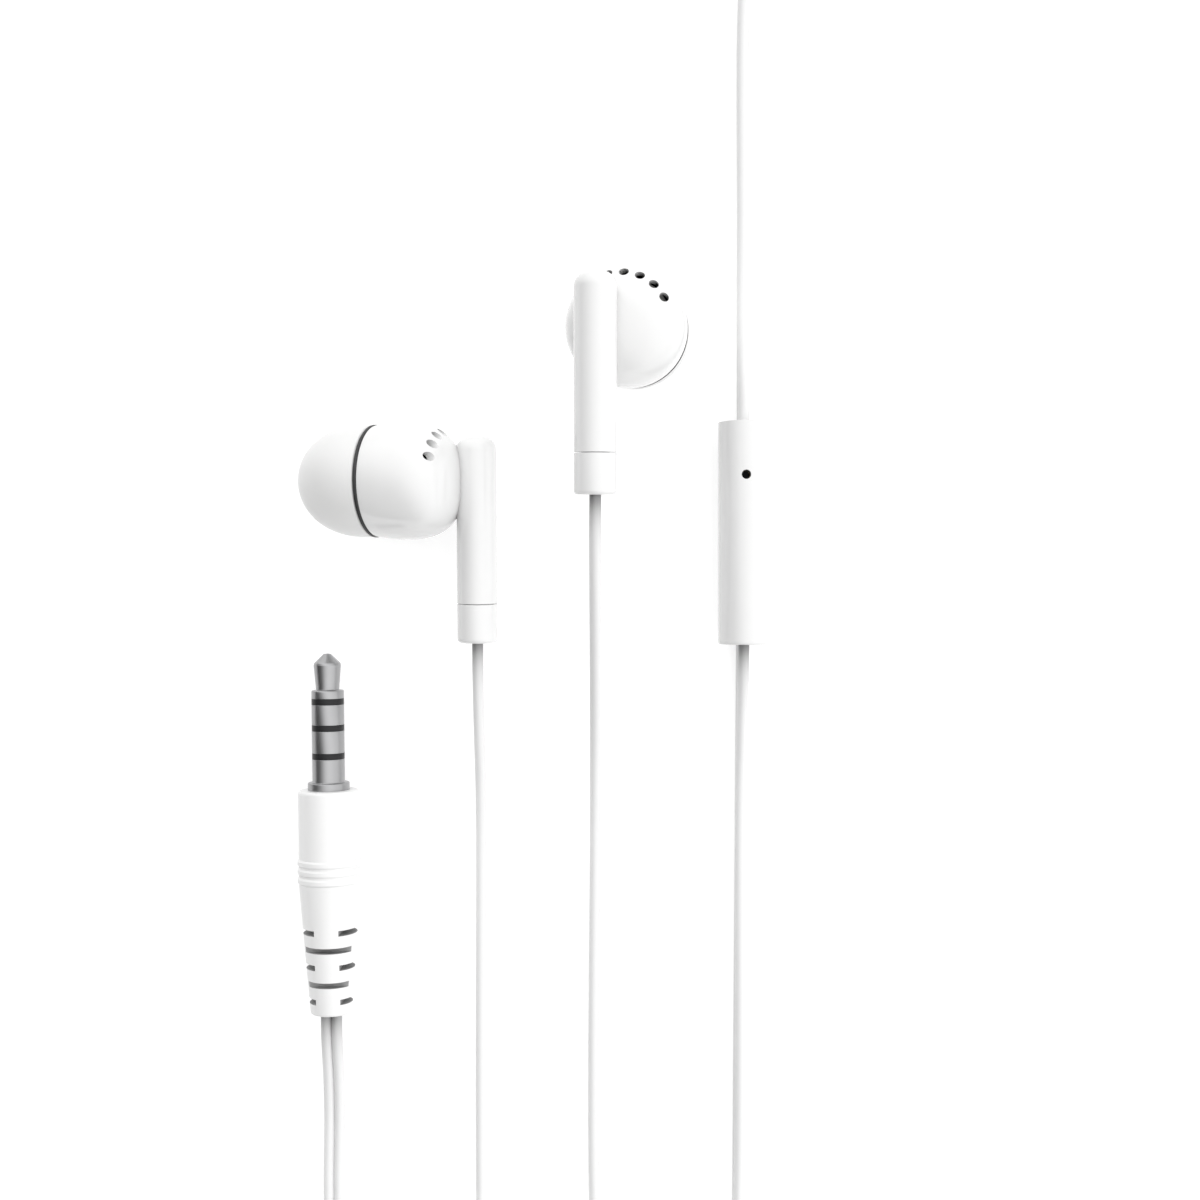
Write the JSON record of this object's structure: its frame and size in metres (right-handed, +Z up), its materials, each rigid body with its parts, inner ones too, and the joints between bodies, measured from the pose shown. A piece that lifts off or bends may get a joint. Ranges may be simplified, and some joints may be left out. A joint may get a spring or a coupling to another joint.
{
  "type": "wired earphones",
  "caption": "Wired in-ear earphones with silicone ear tips on stemmed housings, an in-line microphone pod with a call button, and a coiled cord ending in a jack plug.",
  "frame": {"origin": "on the table under the middle of the box round the two earphones and the microphone pod", "axes": "+Z up from the table they lie on, +Y from the stems' ends towards the nozzles' end of each stem, +X from the left earphone towards the microphone pod"},
  "size_m": [0.0567, 0.1916, 0.0209],
  "materials": {
    "white_shell": "glossy injection moulded",
    "silicone": "soft satin silicone",
    "black_rubber": "matte",
    "white_cord": "satin elastomer jacket",
    "white_moulding": "satin moulded elastomer",
    "steel": "plain",
    "magnet": "nickel plated",
    "nickel": "polished nickel plating",
    "copper": "enamelled copper wire",
    "film": "thin polymer film",
    "black_plastic": "satin",
    "board": "solder mask",
    "brass_can": "plain",
    "felt": "acoustic paper",
    "tie": "coated wire tie"
  },
  "bodies": {
    "earphones": {"left_nozzle_mesh": "steel", "left_front_cover": "white_shell", "left_seal_ring": "black_rubber", "left_driver_cover": "steel", "left_driver_frame": "black_plastic", "left_top_plate": "steel", "left_magnet": "magnet", "left_yoke": "steel", "left_terminal_board": "board", "left_rear_damper": "felt", "left_rear_shell": "white_shell", "left_stem": "white_shell", "left_end_cap": "white_shell", "left_lead_knot": "white_cord", "right_nozzle_mesh": "steel", "right_front_cover": "white_shell", "right_seal_ring": "black_rubber", "right_driver_cover": "steel", "right_driver_frame": "black_plastic", "right_top_plate": "steel", "right_magnet": "magnet", "right_yoke": "steel", "right_terminal_board": "board", "right_rear_damper": "felt", "right_rear_shell": "white_shell", "right_stem": "white_shell", "right_end_cap": "white_shell", "right_lead_knot": "white_cord", "pod_front_shell": "white_shell", "pod_rear_shell": "white_shell", "mic_capsule": "brass_can", "mic_seal": "black_rubber", "pod_circuit_board": "board", "pod_switch": "black_plastic", "plug_tip": "nickel", "plug_ring_1": "nickel", "plug_ring_2": "nickel", "plug_sleeve": "nickel", "plug_insulators": "black_plastic", "plug_wires": "copper", "plug_moulding": "white_moulding", "left_cord": "white_cord", "left_coil": "white_cord", "right_cord": "white_cord", "mic_cord": "white_cord", "twin_cord": "white_cord", "twin_coil": "white_cord", "cord_splitter": "white_moulding", "cord_tie": "tie"},
    "left_tip": {"left_ear_tip": "silicone"},
    "right_tip": {"right_ear_tip": "silicone"},
    "button": {"call_button": "white_shell"},
    "left_cone": {"left_diaphragm": "film", "left_voice_coil": "copper"},
    "right_cone": {"right_diaphragm": "film", "right_voice_coil": "copper"}
  },
  "joints": [
    {"name": "left_ear_tip_pull", "type": "slide", "parent": "earphones", "child": "left_tip", "axis": [-0.9689, 0.0169, -0.247], "range_m": [0, 0.006]},
    {"name": "right_ear_tip_pull", "type": "slide", "parent": "earphones", "child": "right_tip", "axis": [0.1736, 0.0687, -0.9824], "range_m": [0, 0.006]},
    {"name": "call_button_press", "type": "slide", "parent": "earphones", "child": "button", "axis": [0, 0, 1], "range_m": [0, 0.00025], "stiffness_N_per_m": 400},
    {"name": "left_diaphragm_travel", "type": "slide", "parent": "earphones", "child": "left_cone", "axis": [-0.9689, 0.0169, -0.247], "range_m": [-0.00015, 0.00015], "stiffness_N_per_m": 300},
    {"name": "right_diaphragm_travel", "type": "slide", "parent": "earphones", "child": "right_cone", "axis": [0.1736, 0.0687, -0.9824], "range_m": [-0.00015, 0.00015], "stiffness_N_per_m": 300}
  ]
}
